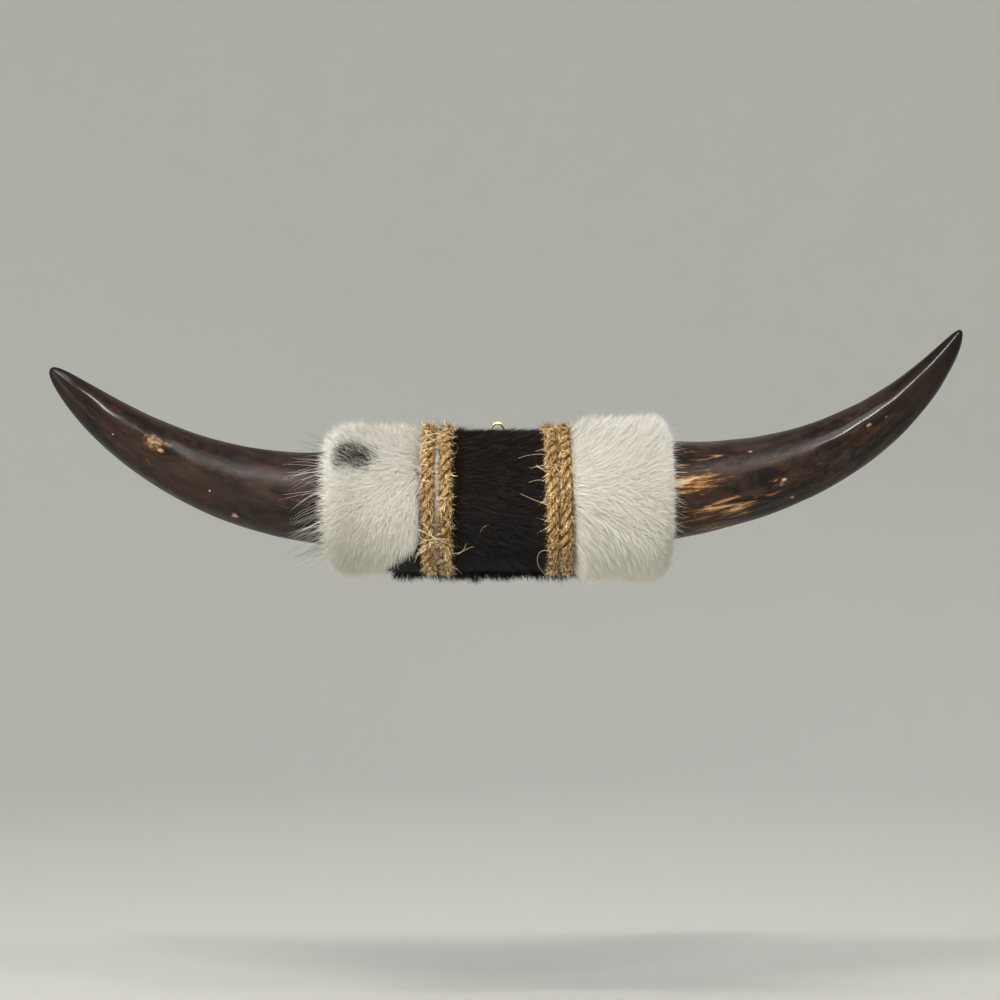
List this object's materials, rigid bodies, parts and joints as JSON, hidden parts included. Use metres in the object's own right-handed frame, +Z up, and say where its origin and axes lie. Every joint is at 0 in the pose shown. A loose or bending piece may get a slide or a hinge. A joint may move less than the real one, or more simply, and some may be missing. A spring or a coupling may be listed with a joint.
{
  "type": "longhorn steer horn mount",
  "caption": "Wall-hung steer horn mount: polished horns on pegs at the ends of a timber block wrapped in black and white hide, bound with rope, with a swinging hanging ring behind.",
  "frame": {"origin": "middle of the flat back of the timber block, level with the block's axis, in the plane of the wall", "axes": "+X along the mount towards the right-hand horn as seen from the front, +Y into the wall, +Z up"},
  "size_m": [0.5887, 0.0878, 0.166],
  "materials": {
    "timber": "sawn and lightly sanded softwood",
    "polished_horn": "polished and lacquered dark horn",
    "white_hair": "long off-white cow hair",
    "black_hair": "short sleek black cow hair",
    "rope_fibre": "natural manila rope, fibrous",
    "brass": "brass-plated steel"
  },
  "bodies": {
    "mount": {"block": "timber", "horn_left": "polished_horn", "horn_right": "polished_horn", "white_hide_left": "white_hair", "white_hide_right": "white_hair", "black_hide": "black_hair", "rope_left_outer": "rope_fibre", "rope_left_inner": "rope_fibre", "rope_right_inner": "rope_fibre", "rope_right_outer": "rope_fibre", "hanger_strap": "brass", "hanger_screw": "brass"},
    "ring": {"hanger_ring": "brass"}
  },
  "joints": [
    {"name": "ring_swing", "type": "hinge", "parent": "mount", "child": "ring", "pos_m": [0, -0.004, 0.031], "axis": [-1, 0, 0], "range_deg": [0, 160]}
  ]
}
